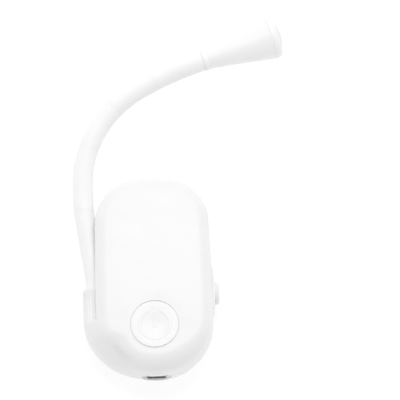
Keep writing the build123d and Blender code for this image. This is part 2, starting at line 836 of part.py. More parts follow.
coil_radius = pin_radius + spring_clearance + spring_wire / 2
coil_length = (spring_turns - 1) * spring_pitch
coil_start = side_plane.offset(-coil_length / 2).origin
with BuildPart() as torsion_spring:
    with BuildLine():
        coil = Helix(
            pitch=spring_pitch,
            height=coil_length,
            radius=coil_radius,
            center=coil_start,
            direction=(1, 0, 0),
        )
    with BuildSketch(Plane(origin=coil @ 0, z_dir=coil % 0)):
        Circle(spring_wire / 2)
    sweep(path=coil, is_frenet=True)
torsion_spring.part.label = "torsion_spring"
export_step(torsion_spring.part, "parts/torsion_spring.step")

# ---------------------------------------------------------------- pads in the mouth
pad_front_y = hinge_y - trough_length / 2 - pad_setback
with BuildSketch() as pad_outline:
    add(body_outline(jaw_inset + pad_edge_margin))
    with Locations((0, pad_front_y)):
        Rectangle(pad_width, pad_length, align=(Align.CENTER, Align.MAX), mode=Mode.INTERSECT)

with BuildPart() as jaw_pad:
    with BuildSketch(Plane.XY.offset(jaw_thickness)):
        add(pad_outline.sketch)
    extrude(amount=pad_thickness)
jaw_pad.part.label = "jaw_pad"
export_step(jaw_pad.part, "parts/jaw_pad.step")

with BuildPart() as housing_pad:
    with BuildSketch(Plane.XY.offset(rear_height - pad_thickness)):
        add(pad_outline.sketch)
    extrude(amount=pad_thickness)
housing_pad.part.label = "housing_pad"
export_step(housing_pad.part, "parts/housing_pad.step")

# ---------------------------------------------------------------- neck collar
with BuildPart() as neck_collar:
    with BuildSketch(neck_plane(-collar_length)):
        Circle(collar_radius)
        with PolarLocations(collar_radius, collar_flutes):
            Circle(flute_radius, mode=Mode.SUBTRACT)
        Circle(neck_radius, mode=Mode.SUBTRACT)
    extrude(amount=collar_length)
neck_collar.part.label = "neck_collar"
export_step(neck_collar.part, "parts/neck_collar.step")

with BuildPart() as neck_ferrule:
    with BuildSketch(neck_plane(-collar_length - wall - ferrule_end_gap)):
        Circle(ferrule_radius)
        Circle(core_diameter / 2, mode=Mode.SUBTRACT)
    extrude(amount=-ferrule_length)
neck_ferrule.part.label = "neck_ferrule"
export_step(neck_ferrule.part, "parts/neck_ferrule.step")

# ---------------------------------------------------------------- places in the head
head_plane = neck_plane(neck_length)
head_axis = Axis(head_plane.origin, head_plane.z_dir)
head_section = Plane(origin=head_plane.origin, x_dir=head_plane.z_dir, z_dir=(0, 0, 1))
bezel_start = head_length - bezel_length
bezel_step = 0.1
fit_gap = 0.1
close_gap = 0.05
head_base_radius = neck_radius + head_base_step
shell_end_radius = head_tip_radius - bezel_step
ferrule_end = core_end - neck_length
sink_start = 22.5
sink_length = 3.5
sink_radius = 6.2
led_board_radius = 6.4
led_board_thickness = 1.2
reflector_wall = 0.8
lens_edge = 1.2
lens_seat = head_length - lens_rise - lens_edge
led_board_start = sink_start + sink_length
reflector_start = led_board_start + led_board_thickness
skirt_length = 2.0
skirt_radius = shell_end_radius - head_wall
skirt_end_gap = 0.3
skirt_end = bezel_start - skirt_length - skirt_end_gap
reflector_flange = 0.6
reflector_end = lens_seat - reflector_flange
reflector_throat = 2.3
reflector_mouth = 5.6
led_size = 3.0
led_height = 0.7
rim_end = head_length - lens_rise
rim_width = 0.4
rim_radius = lens_radius + rim_width
tip_edge_start = rim_end - tip_edge_length
skirt_wall = 0.9
skirt_outer = skirt_radius - close_gap
skirt_bore = skirt_outer - skirt_wall
ferrule_bore = ferrule_radius + close_gap
ferrule_bore_end = ferrule_end + 1.0
core_hole = core_diameter / 2 + close_gap / 2

# ---------------------------------------------------------------- gooseneck segments
last_segment = len(bend_stations)
lead_offset = (lead_diameter + lead_gap) / 2
lead_bend = neck_place(core_start).Y - lead_turn_y - lead_gap
lead_end = neck_length + sink_start + sink_length
for segment in range(last_segment + 1):
    start, end = sleeve_marks[segment], sleeve_marks[segment + 1]
    begin = start + bend_stretch if segment else start
    path = neck_path(begin, end)
    with BuildPart() as neck_sleeve:
        with BuildSketch(neck_plane(begin)):
            Circle(neck_radius)
        sweep(path=path)
        if segment < last_segment:
            with Locations(neck_plane(end)):
                Sphere(neck_radius)
        if segment:
            with Locations(neck_plane(start)):
                Sphere(cup_depth, mode=Mode.SUBTRACT)
        bore_start = start + core_gap if segment else start
        bore_end = end - bend_web if segment < last_segment else end
        with BuildSketch(neck_plane(bore_start)):
            Circle(core_diameter / 2)
        sweep(path=neck_path(bore_start, bore_end), mode=Mode.SUBTRACT)
    neck_sleeve.part.label = f"neck_sleeve_{segment}"
    export_step(neck_sleeve.part, f"parts/neck_sleeve_{segment}.step")

    core_from = start + core_gap if segment else core_start
    core_to = end - bend_web if segment < last_segment else core_end
    with BuildPart() as neck_core:
        with BuildSketch(neck_plane(core_from)):
            Circle(core_diameter / 2)
            Circle(core_bore / 2, mode=Mode.SUBTRACT)
        sweep(path=neck_path(core_from, core_to))
    neck_core.part.label = f"neck_core_{segment}"
    export_step(neck_core.part, f"parts/neck_core_{segment}.step")

    lead_to = lead_end if segment == last_segment else core_to
    with BuildPart() as neck_leads:
        with BuildSketch(neck_plane(core_from)):
            with Locations((-lead_offset, 0), (lead_offset, 0)):
                Circle(lead_diameter / 2)
        sweep(path=neck_path(core_from, lead_to))
        if segment == 0:
            with BuildLine() as tail:
                FilletPolyline(
                    neck_place(core_from),
                    (neck_x, lead_turn_y, neck_height),
                    (connector_left, lead_turn_y, neck_height),
                    radius=lead_bend,
                )
            with BuildSketch(neck_plane(core_from)):
                with Locations((-lead_offset, 0), (lead_offset, 0)):
                    Circle(lead_diameter / 2)
            sweep(path=tail.wire())
    neck_leads.part.label = f"neck_leads_{segment}"
    export_step(neck_leads.part, f"parts/neck_leads_{segment}.step")

# ---------------------------------------------------------------- head
with BuildPart() as head_shell:
    with BuildSketch(head_section):
        with BuildLine():
            Line((0, core_hole), (0, head_base_radius - head_base_edge))
            TangentArc(
                (0, head_base_radius - head_base_edge), (head_base_edge, head_base_radius), tangent=(0, 1)
            )
            Line((head_base_edge, head_base_radius), (head_base_flare, head_base_radius))
            Line((head_base_flare, head_base_radius), (bezel_start, shell_end_radius))
            Line((bezel_start, shell_end_radius), (bezel_start, skirt_radius))
            Line((bezel_start, skirt_radius), (skirt_end, skirt_radius))
            Line((skirt_end, skirt_radius), (sink_start, sink_radius + fit_gap))
            Line((sink_start, sink_radius + fit_gap), (ferrule_bore_end, ferrule_bore))
            Line((ferrule_bore_end, ferrule_bore), (head_wall, ferrule_bore))
            Line((head_wall, ferrule_bore), (head_wall, core_hole))
            Line((head_wall, core_hole), (0, core_hole))
        make_face()
    revolve(axis=head_axis)
head_shell.part.label = "head_shell"
export_step(head_shell.part, "parts/head_shell.step")

with BuildPart() as head_ferrule:
    with BuildSketch(head_plane.offset(head_wall)):
        Circle(ferrule_radius)
        Circle(core_diameter / 2, mode=Mode.SUBTRACT)
    extrude(amount=ferrule_end - head_wall)
head_ferrule.part.label = "head_ferrule"
export_step(head_ferrule.part, "parts/head_ferrule.step")

with BuildPart() as heat_sink:
    with BuildSketch(head_plane.offset(sink_start)):
        Circle(sink_radius)
        Circle(core_bore / 2, mode=Mode.SUBTRACT)
    extrude(amount=sink_length)
heat_sink.part.label = "heat_sink"
export_step(heat_sink.part, "parts/heat_sink.step")

with BuildPart() as led_board:
    with BuildSketch(head_plane.offset(led_board_start)):
        Circle(led_board_radius)
    extrude(amount=led_board_thickness)
led_board.part.label = "led_board"
export_step(led_board.part, "parts/led_board.step")

with BuildPart() as led_chip:
    with BuildSketch(head_plane.offset(reflector_start)):
        Rectangle(led_size, led_size)
    extrude(amount=led_height)
led_chip.part.label = "led_chip"
export_step(led_chip.part, "parts/led_chip.step")

with BuildPart() as reflector:
    with BuildSketch(head_section):
        Polygon(
            (reflector_start, reflector_throat),
            (reflector_end, reflector_mouth),
            (reflector_end, reflector_mouth + reflector_wall),
            (reflector_start, reflector_throat + reflector_wall),
            align=None,
        )
    revolve(axis=head_axis)
reflector.part.label = "reflector"
export_step(reflector.part, "parts/reflector.step")

with BuildPart() as head_bezel:
    with BuildSketch(head_section):
        with BuildLine():
            Line((bezel_start, head_tip_radius), (tip_edge_start, head_tip_radius))
            TangentArc((tip_edge_start, head_tip_radius), (rim_end, rim_radius), tangent=(1, 0))
            Polyline(
                (rim_end, rim_radius),
                (rim_end, lens_radius + fit_gap),
                (lens_seat, lens_radius + fit_gap),
                (lens_seat, reflector_mouth),
                (reflector_end, reflector_mouth),
                (reflector_end, skirt_bore),
                (bezel_start - skirt_length, skirt_bore),
                (bezel_start - skirt_length, skirt_outer),
                (bezel_start, skirt_outer),
                (bezel_start, head_tip_radius),
            )
        make_face()
    revolve(axis=head_axis)
head_bezel.part.label = "head_bezel"
export_step(head_bezel.part, "parts/head_bezel.step")

with BuildPart() as head_lens:
    with BuildSketch(head_section):
        with BuildLine():
            Polyline((rim_end, lens_radius), (lens_seat, lens_radius), (lens_seat, 0), (head_length, 0))
            TangentArc((head_length, 0), (rim_end, lens_radius), tangent=(0, 1))
        make_face()
    revolve(axis=head_axis)
head_lens.part.label = "head_lens"
export_step(head_lens.part, "parts/head_lens.step")
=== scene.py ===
import json
import math

import bmesh
import bpy
from mathutils import Matrix, Vector


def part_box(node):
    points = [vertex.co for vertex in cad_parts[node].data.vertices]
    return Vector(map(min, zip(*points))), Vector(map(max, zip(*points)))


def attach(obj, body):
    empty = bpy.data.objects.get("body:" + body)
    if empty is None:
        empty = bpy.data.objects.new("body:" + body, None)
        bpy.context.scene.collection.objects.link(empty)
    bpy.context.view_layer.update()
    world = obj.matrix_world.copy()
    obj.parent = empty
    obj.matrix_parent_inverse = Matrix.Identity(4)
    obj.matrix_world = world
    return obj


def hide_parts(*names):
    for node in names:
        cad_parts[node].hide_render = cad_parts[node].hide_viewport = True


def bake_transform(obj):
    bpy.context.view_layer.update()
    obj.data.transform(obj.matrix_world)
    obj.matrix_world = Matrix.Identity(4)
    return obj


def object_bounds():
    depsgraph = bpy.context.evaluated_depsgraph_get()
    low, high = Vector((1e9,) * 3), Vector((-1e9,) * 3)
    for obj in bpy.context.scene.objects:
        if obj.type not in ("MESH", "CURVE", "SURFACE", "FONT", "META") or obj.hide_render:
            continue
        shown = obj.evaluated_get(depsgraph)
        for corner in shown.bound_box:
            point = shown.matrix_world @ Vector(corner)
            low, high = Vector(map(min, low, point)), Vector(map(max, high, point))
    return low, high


# Clip-on reading lamp. Metres, in the frame of the CAD model: +Z out of the front face,
# +Y to the top of the lamp, +X to its right.
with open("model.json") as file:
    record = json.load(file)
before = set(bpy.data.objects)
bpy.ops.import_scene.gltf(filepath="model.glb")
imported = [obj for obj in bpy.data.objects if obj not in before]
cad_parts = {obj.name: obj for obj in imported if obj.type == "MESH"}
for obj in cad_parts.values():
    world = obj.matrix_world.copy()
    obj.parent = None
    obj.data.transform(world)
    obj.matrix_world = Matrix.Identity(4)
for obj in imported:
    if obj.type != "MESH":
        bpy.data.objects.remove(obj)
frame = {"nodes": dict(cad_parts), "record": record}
cad_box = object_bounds()
nodes = frame["nodes"]
MM = 0.001

# ---------------------------------------------------------------- sizes worked out from the frame
cover_low, cover_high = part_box("front_housing")
button_low, button_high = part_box("power_button")
collar_low, collar_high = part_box("neck_collar")
cap_low, cap_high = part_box("hinge_cap")
straight_low, straight_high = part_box("neck_sleeve_1")
pad_low, pad_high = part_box("jaw_pad")
housing_pad_low, housing_pad_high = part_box("housing_pad")

end_radius = (cover_high.x - cover_low.x) / 2
bottom_y, top_y = cover_low.y, cover_high.y
end_centre_y = bottom_y + end_radius
face_height = cover_high.z
parting_height = cover_low.z
button_y = (button_low.y + button_high.y) / 2
neck_x = (collar_low.x + collar_high.x) / 2
neck_height = (collar_low.z + collar_high.z) / 2
collar_radius = (collar_high.z - collar_low.z) / 2
neck_radius = (straight_high.z - straight_low.z) / 2
collar_top_y, collar_bottom_y = collar_high.y, collar_low.y

# Shape of the housing's plan and domed face
side_taper = 1.0 * MM
crown_radius = 38.0 * MM
shoulder_radius = 20.0 * MM
wall = 1.6 * MM
dome_radius = 420.0 * MM
dome_centre = Vector((0, -8.0 * MM))
bulge_centre = Vector((-3.7 * MM, -16.0 * MM))
bulge_radius = 27.0 * MM
bulge_edge = 5.0 * MM
skirt_depth = 9.4 * MM


# ---------------------------------------------------------------- camera
def look_from(target, back, up, distance, lens):
    """A camera at a distance behind the target, with its upright along up."""
    right = up.cross(back).normalized()
    turn = Matrix((right, up, back)).transposed()
    data = bpy.data.cameras.new("photo_camera")
    data.lens = lens
    data.clip_end = 2 * distance
    camera = bpy.data.objects.new("photo_camera", data)
    camera.rotation_mode = "QUATERNION"
    camera.location = target + back * distance
    camera.rotation_quaternion = turn.to_quaternion()
    bpy.context.scene.collection.objects.link(camera)
    bpy.context.scene.camera = camera


view_elevation = math.radians(71.0)
view_roll = math.radians(1.9)
view_lens = 600.0
sensor_width = 36.0
field_width = 170.2 * MM
aim_right = 21.0 * MM
aim_up = 51.9 * MM

view_back = Vector((0, -math.cos(view_elevation), math.sin(view_elevation)))
level_up = Vector((0, math.sin(view_elevation), math.cos(view_elevation)))
level_right = Vector((1, 0, 0))
view_up = level_up * math.cos(view_roll) + level_right * math.sin(view_roll)
button_face = Vector((0, button_y, button_high.z))
aim = button_face + level_right * aim_right + level_up * aim_up
look_from(aim, view_back, view_up, field_width * view_lens / sensor_width, view_lens)


# ---------------------------------------------------------------- material tools
def new_material(name, colour, roughness):
    """A node material with a Principled shader."""
    material = bpy.data.materials.new(name)
    material.use_nodes = True
    material.diffuse_color = (*colour, 1)
    shader = material.node_tree.nodes["Principled BSDF"]
    shader.inputs["Base Color"].default_value = (*colour, 1)
    shader.inputs["Roughness"].default_value = roughness
    return material, material.node_tree, shader


def grain(tree, scale, detail=3.0, rough=0.6, stretch=(1, 1, 1)):
    """Noise in object coordinates, with scale cells to a metre."""
    place = tree.nodes.new("ShaderNodeTexCoord")
    mapping = tree.nodes.new("ShaderNodeMapping")
    mapping.inputs["Scale"].default_value = stretch
    noise = tree.nodes.new("ShaderNodeTexNoise")
    noise.inputs["Scale"].default_value = scale
    noise.inputs["Detail"].default_value = detail
    noise.inputs["Roughness"].default_value = rough
    tree.links.new(place.outputs["Object"], mapping.inputs["Vector"])
    tree.links.new(mapping.outputs["Vector"], noise.inputs["Vector"])
    return noise.outputs["Fac"]


def span(tree, source, low, high):
    """Maps a 0 to 1 value onto a range."""
    node = tree.nodes.new("ShaderNodeMapRange")
    node.inputs["From Min"].default_value = 0.3
    node.inputs["From Max"].default_value = 0.7
    node.inputs["To Min"].default_value = low
    node.inputs["To Max"].default_value = high
    tree.links.new(source, node.inputs["Value"])
    return node.outputs["Result"]


def tint(tree, shader, source, dark, light):
    """Colours the surface between two colours by a 0 to 1 value."""
    mix = tree.nodes.new("ShaderNodeMixRGB")
    mix.inputs["Color1"].default_value = (*dark, 1)
    mix.inputs["Color2"].default_value = (*light, 1)
    tree.links.new(source, mix.inputs["Fac"])
    tree.links.new(mix.outputs["Color"], shader.inputs["Base Color"])


def relief(tree, shader, source, depth, strength=0.6):
    """Bumps the surface by a 0 to 1 value."""
    bump = tree.nodes.new("ShaderNodeBump")
    bump.inputs["Distance"].default_value = depth
    bump.inputs["Strength"].default_value = strength
    tree.links.new(source, bump.inputs["Height"])
    tree.links.new(bump.outputs["Normal"], shader.inputs["Normal"])


def moulded(name, colour, roughness, cells, depth, sheen=0.0, soft=0.0, coat=0.0, variation=0.02):
    """Moulded plastic or rubber: fine surface grain, faint clouding and uneven gloss."""
    material, tree, shader = new_material(name, colour, roughness)
    relief(tree, shader, grain(tree, cells), depth)
    cloud = grain(tree, 70.0, 2.0, 0.5)
    tint(tree, shader, span(tree, cloud, 0.0, 1.0), [c * (1 - variation) for c in colour], colour)
    gloss = grain(tree, 350.0, 4.0, 0.65)
    rough = span(tree, gloss, roughness - 0.05, roughness + 0.05)
    tree.links.new(rough, shader.inputs["Roughness"])
    shader.inputs["Sheen Weight"].default_value = sheen
    shader.inputs["Coat Weight"].default_value = coat
    shader.inputs["Coat Roughness"].default_value = 0.25
    shader.inputs["Subsurface Weight"].default_value = soft
    shader.inputs["Subsurface Radius"].default_value = (1.0, 0.95, 0.9)
    shader.inputs["Subsurface Scale"].default_value = 1.5 * MM
    return material


def metal(name, colour, roughness, cells, stretch, depth=0.004 * MM):
    """Bare or plated metal with drawn or turned scratches along one direction."""
    material, tree, shader = new_material(name, colour, roughness)
    shader.inputs["Metallic"].default_value = 1.0
    scratches = grain(tree, cells, 5.0, 0.7, stretch)
    relief(tree, shader, scratches, depth)
    stain = grain(tree, 300.0, 3.0)
    tint(tree, shader, span(tree, stain, 0.0, 1.0), [c * 0.82 for c in colour], colour)
    uneven = span(tree, scratches, roughness - 0.08, roughness + 0.1)
    tree.links.new(uneven, shader.inputs["Roughness"])
    return material


def solder_mask(name, board, track):
    """Circuit board: solder mask over a maze of copper tracks."""
    material, tree, shader = new_material(name, board, 0.35)
    place = tree.nodes.new("ShaderNodeTexCoord")
    tracks = tree.nodes.new("ShaderNodeTexBrick")
    tracks.inputs["Scale"].default_value = 420.0
    tracks.inputs["Mortar Size"].default_value = 0.06
    tracks.inputs["Brick Width"].default_value = 1.7
    tracks.inputs["Row Height"].default_value = 0.45
    tree.links.new(place.outputs["Object"], tracks.inputs["Vector"])
    tint(tree, shader, tracks.outputs["Fac"], board, track)
    relief(tree, shader, tracks.outputs["Fac"], 0.03 * MM)
    shader.inputs["Coat Weight"].default_value = 0.5
    return material


white = (0.9, 0.9, 0.898)
# A lighter copy of the white plastic, painted light: it brightens the neck and head, which the lamps
# leave darker than the housing
white_painted_lighter = (0.955, 0.955, 0.953)
materials = {
    "shell_white": moulded("shell_white", white, 0.42, 5200, 0.012 * MM, soft=0.1, coat=0.12),
    "button_white": moulded("button_white", white, 0.36, 6500, 0.008 * MM, soft=0.1, coat=0.2),
    "collar_white": moulded("collar_white", white, 0.45, 5200, 0.012 * MM, soft=0.1),
    # Painted light: the head and the neck sleeve take the lighter copy of the white plastic
    "head_white": moulded("head_white", white_painted_lighter, 0.42, 5200, 0.012 * MM, soft=0.1, coat=0.12),
    "neck_silicone": moulded(
        "neck_silicone", white_painted_lighter, 0.6, 2600, 0.02 * MM, sheen=0.15, soft=0.15),
    "pad_silicone": moulded(
        "pad_silicone", (0.78, 0.78, 0.775), 0.65, 2400, 0.03 * MM, sheen=0.2, soft=0.3),
    "switch_black": moulded(
        "switch_black", (0.025, 0.025, 0.027), 0.5, 4200, 0.02 * MM, variation=0.2),
    "component_black": moulded(
        "component_black", (0.03, 0.03, 0.033), 0.55, 6000, 0.03 * MM, variation=0.25),
    "connector_plastic": moulded(
        "connector_plastic", (0.82, 0.78, 0.68), 0.45, 4200, 0.02 * MM, soft=0.1),
    "foam_black": moulded("foam_black", (0.04, 0.04, 0.042), 0.9, 1500, 0.25 * MM, variation=0.3),
    "lead_red": moulded("lead_red", (0.55, 0.03, 0.03), 0.45, 3000, 0.02 * MM, soft=0.1),
    "lead_pair": moulded("lead_pair", (0.75, 0.74, 0.72), 0.5, 3000, 0.02 * MM, soft=0.1),
    "led_yellow": moulded(
        "led_yellow", (0.95, 0.72, 0.12), 0.6, 8000, 0.03 * MM, soft=0.3, variation=0.15),
    "battery_foil": metal("battery_foil", (0.72, 0.73, 0.75), 0.38, 900, (1, 1, 3), 0.06 * MM),
    "connector_steel": metal("connector_steel", (0.66, 0.66, 0.67), 0.28, 2500, (1, 0.08, 1)),
    "screw_steel": metal("screw_steel", (0.5, 0.5, 0.52), 0.35, 3000, (1, 1, 0.1)),
    "pin_steel": metal("pin_steel", (0.6, 0.6, 0.62), 0.22, 3000, (0.05, 1, 1)),
    "spring_steel": metal("spring_steel", (0.42, 0.42, 0.44), 0.32, 3500, (1, 0.2, 0.2)),
    "core_steel": metal("core_steel", (0.5, 0.5, 0.52), 0.4, 2500, (1, 1, 1), 0.02 * MM),
    "sink_aluminium": metal("sink_aluminium", (0.75, 0.75, 0.77), 0.35, 2800, (1, 1, 0.2)),
    "ferrule_brass": metal("ferrule_brass", (0.78, 0.58, 0.28), 0.3, 3000, (1, 0.2, 1)),
    "reflector_chrome": metal("reflector_chrome", (0.9, 0.9, 0.91), 0.1, 1200, (1, 1, 1), 0.002 * MM),
    "board_green": solder_mask("board_green", (0.012, 0.1, 0.035), (0.03, 0.22, 0.07)),
    "board_aluminium": solder_mask("board_aluminium", (0.85, 0.85, 0.84), (0.7, 0.7, 0.7)),
}


def frosted_lens():
    """Milky moulded diffuser: fine prismatic grain, some light passes through."""
    material = moulded(
        "lens_frosted", (0.93, 0.93, 0.925), 0.4, 3600, 0.05 * MM, soft=0.35, coat=0.15)
    shader = material.node_tree.nodes["Principled BSDF"]
    shader.inputs["Transmission Weight"].default_value = 0.12
    shader.inputs["IOR"].default_value = 1.49
    return material


materials["lens_frosted"] = frosted_lens()

# Every CAD node takes the finish of its slot
for subpart in frame["record"]["subparts"]:
    node = nodes[subpart["node"]]
    node.data.materials.clear()
    node.data.materials.append(materials[subpart["material_slot"]])


# ---------------------------------------------------------------- mesh tools
sharp_angle = math.radians(38)


def finish_piece(name, mesh, slot, body, stands_for=()):
    """Makes a mesh into a piece: smooth shading with crisp edges, its finish, and its body."""
    mesh.normal_update()
    for edge in mesh.edges:
        if len(edge.link_faces) == 2 and edge.calc_face_angle(0.0) > sharp_angle:
            edge.smooth = False
    for face in mesh.faces:
        face.smooth = True
    data = bpy.data.meshes.new(name)
    mesh.to_mesh(data)
    mesh.free()
    data.materials.append(materials[slot])
    piece = bpy.data.objects.new(name, data)
    bpy.context.scene.collection.objects.link(piece)
    if body:
        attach(piece, body)
    if stands_for:
        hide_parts(*stands_for)
    return piece


def skin_rings(mesh, rings, closed=False):
    """Faces between rings of points that all have the same count; closed joins last to first."""
    rows = [[mesh.verts.new(point) for point in ring] for ring in rings]
    pairs = list(zip(rows, rows[1:]))
    if closed:
        pairs.append((rows[-1], rows[0]))
    for inner, outer in pairs:
        for i in range(len(inner)):
            j = (i + 1) % len(inner)
            mesh.faces.new((inner[i], inner[j], outer[j], outer[i]))
    return rows


def cap_ring(mesh, row, point):
    """Closes a ring of vertices with a fan to one point."""
    middle = mesh.verts.new(point)
    for i in range(len(row)):
        mesh.faces.new((row[i], row[(i + 1) % len(row)], middle))


def outward(mesh):
    bmesh.ops.recalc_face_normals(mesh, faces=mesh.faces)


def arc(centre, radii, start, end, steps):
    """Points on an arc in a lathe's section: (along, radius), angles in degrees."""
    points = []
    for step in range(steps + 1):
        angle = math.radians(start + (end - start) * step / steps)
        along = centre[0] + radii[0] * math.cos(angle)
        points.append((along, centre[1] + radii[1] * math.sin(angle)))
    return points


def lathe(name, profile, origin, axis, slot, body, stands_for, segments=128):
    """Turns a section of (along, radius) points about an axis; ends on the axis are closed."""
    axis = axis.normalized()
    side = axis.orthogonal().normalized()
    other = axis.cross(side)
    mesh = bmesh.new()
    rings = []
    for along, radius in profile:
        if radius <= 0:
            continue
        ring = []
        for i in range(segments):
            angle = 2 * math.pi * i / segments
            spoke = side * math.cos(angle) + other * math.sin(angle)
            ring.append(origin + axis * along + spoke * radius)
        rings.append(ring)
    open_start, open_end = profile[0][1] <= 0, profile[-1][1] <= 0
    rows = skin_rings(mesh, rings, closed=not (open_start or open_end))
    if open_start:
        cap_ring(mesh, rows[0], origin + axis * profile[0][0])
    if open_end:
        cap_ring(mesh, rows[-1], origin + axis * profile[-1][0])
    outward(mesh)
    return finish_piece(name, mesh, slot, body, stands_for)


def smooth(value):
    """A step from 0 to 1 with level ends."""
    value = min(1.0, max(0.0, value))
    return value * value * (3 - 2 * value)


# ---------------------------------------------------------------- plan outline of the housing
def shoulder_places():
    """Centre of the right shoulder arc, centre of the right side's long arc, and its radius."""
    crown_y = top_y - crown_radius
    side_x = end_radius - side_taper
    rise = crown_y + math.sqrt(crown_radius**2 - side_x**2) - end_centre_y
    side_radius = (side_taper**2 + rise**2) / (2 * side_taper)
    side_centre = Vector((end_radius - side_radius, end_centre_y))
    reach, crown_reach = side_radius - shoulder_radius, crown_radius - shoulder_radius
    to_crown = Vector((0, crown_y)) - side_centre
    along = (reach**2 - crown_reach**2 + to_crown.length_squared) / (2 * to_crown.length)
    across = math.sqrt(reach**2 - along**2)
    ahead = to_crown.normalized()
    shoulder = side_centre + ahead * along + Vector((-ahead.y, ahead.x)) * across
    return shoulder, side_centre, side_radius


def plan_outline(pitch, extra_angles=()):
    """Points and outward directions round the housing, from its left side by the bottom."""
    shoulder, side_centre, side_radius = shoulder_places()
    crown_centre = Vector((0, top_y - crown_radius))
    low = math.atan2(shoulder.y - side_centre.y, shoulder.x - side_centre.x)
    high = math.atan2(shoulder.y - crown_centre.y, shoulder.x - crown_centre.x)
    mirror = Vector((-1, 1))
    turn = math.pi
    arcs = [
        (Vector((0, end_centre_y)), end_radius, turn, 2 * turn),
        (side_centre, side_radius, 0, low),
        (shoulder, shoulder_radius, low, high),
        (crown_centre, crown_radius, high, turn - high),
        (shoulder * mirror, shoulder_radius, turn - high, turn - low),
        (side_centre * mirror, side_radius, turn - low, turn),
    ]
    stations = []
    for number, (centre, radius, start, end) in enumerate(arcs):
        count = max(2, round(abs(end - start) * radius / pitch))
        angles = [start + (end - start) * i / count for i in range(count)]
        if number == 0:
            angles = sorted(angles + list(extra_angles))
        for angle in angles:
            way = Vector((math.cos(angle), math.sin(angle)))
            stations.append((centre + way * radius, way))
    return stations


def dome(point):
    """Height of the domed face at a point in plan."""
    distance = (Vector(point[:2]) - dome_centre).length
    return face_height - dome_radius + math.sqrt(dome_radius**2 - distance**2)


# ---------------------------------------------------------------- front cover
button_centre = Vector((0, button_y))
button_radius = 10.25 * MM
hole_radius = 10.33 * MM
rim_round = 0.16 * MM
rim_steps = 4
edge_inset = 5.0 * MM
edge_depth = 5.0 * MM
end_turn_start = 0.35
end_inset_gain = 2.5 * MM
end_depth_gain = 1.2 * MM
bulge_blend_reach = 1.4 * MM
bulge_inset_gain = 4.0 * MM
bulge_spread_start = 0.07
bulge_spread_turn = 1.2
collar_gap = 0.3 * MM
outline_pitch = 0.75 * MM
dish_width = 4.0 * MM
dish_drop = 0.12 * MM
skirt_stand = 0.12 * MM
lip_round = 0.25 * MM


def bulge_reach(point, way):
    """How far the socket bulge stands out past the outline at a station."""
    offset = point - bulge_centre
    radius = bulge_radius + skirt_stand
    inner = offset.dot(way)
    return math.sqrt(max(0.0, inner**2 - offset.length_squared + radius**2)) - inner


def cover_section(point, way, blended):
    """Rounding of the cover at a station: inset, depth, overhang and foot height."""
    inset, depth, overhang, foot = edge_inset, edge_depth, 0.0, parting_height
    bottom = smooth((-way.y - end_turn_start) / (1 - end_turn_start))
    inset += end_inset_gain * bottom
    depth += end_depth_gain * bottom
    reach = bulge_reach(point, way)
    if blended and reach > 0 and way.x < 0 and way.y < 0:
        share = smooth(reach / bulge_blend_reach)
        low = parting_height - bulge_edge
        overhang = reach * share
        foot = parting_height - skirt_depth * share
        depth += (face_height - low - depth) * share
        turned = math.asin(-way.y) - bulge_spread_start
        spread = math.pi * smooth(turned / bulge_spread_turn)
        inset += bulge_inset_gain * share * math.sin(spread) ** 2
    return inset, depth, overhang, foot


def make_front_cover():
    """Front half of the housing, blended down over the socket bulge below the collar."""
    step_y = collar_bottom_y - collar_gap
    step_angle = math.pi + math.asin((end_centre_y - step_y) / end_radius)
    step_gap = 0.002
    stations = plan_outline(outline_pitch, (step_angle - step_gap, step_angle + step_gap))
    face_rings, round_rings, inner_rings = 30, 16, 8
    columns = []
    for point, way in stations:
        on_bulge = way.x < 0 and way.y < 0 and point.y < step_y
        inset, depth, overhang, foot = cover_section(point, way, on_bulge)
        edge = point - way * inset
        to_hole = (edge - button_centre).normalized()
        hole = button_centre + to_hole * hole_radius
        reach = (edge - hole).length
        column = [(*hole, dome(hole) - wall), (*hole, dome(hole) - 2 * rim_round)]
        for step in range(rim_steps + 1):
            angle = math.pi / 2 * step / rim_steps
            rim = hole + to_hole * rim_round * (1 - math.cos(angle))
            column.append((*rim, dome(rim) - dish_drop - rim_round * (1 - math.sin(angle))))
        rim_share = rim_round / reach
        for step in range(1, face_rings + 1):
            share = rim_share + (1 - rim_share) * (step / face_rings) ** 2
            spot = hole + (edge - hole) * share
            away = (spot - button_centre).length - hole_radius
            dip = dish_drop * (1 - smooth(away / dish_width))
            column.append((*spot, dome(spot) - dip))
        for step in range(1, round_rings + 1):
            angle = math.pi / 2 * step / round_rings
            spot = edge + way * (inset + overhang) * math.sin(angle)
            under = edge + way * min(inset, (inset + overhang) * math.sin(angle))
            column.append((*spot, dome(under) - depth * (1 - math.cos(angle))))
        side = point + way * overhang
        wall_top = column[-1][2]
        foot = min(foot, wall_top - 2 * lip_round)
        for share in (0.5, 1.0):
            column.append((*side, wall_top + (foot + lip_round - wall_top) * share))
        column.append((*(side - way * lip_round), foot))
        inner = point - way * wall
        column.append((*inner, parting_height))
        inner_top = dome(point) - edge_depth
        for step in range(inner_rings + 1):
            angle = math.pi / 2 * step / inner_rings
            spot = inner - way * (edge_inset - wall) * (1 - math.cos(angle))
            column.append((*spot, inner_top + (dome(spot) - wall - inner_top) * math.sin(angle)))
        inner_edge = Vector(column[-1][:2])
        for share in (0.35, 0.7):
            spot = inner_edge + (hole - inner_edge) * share
            column.append((*spot, dome(spot) - wall))
        columns.append(column)
    mesh = bmesh.new()
    skin_rings(mesh, list(zip(*columns)), closed=True)
    outward(mesh)
    return finish_piece("front_cover", mesh, "shell_white", "housing", ["front_housing"])


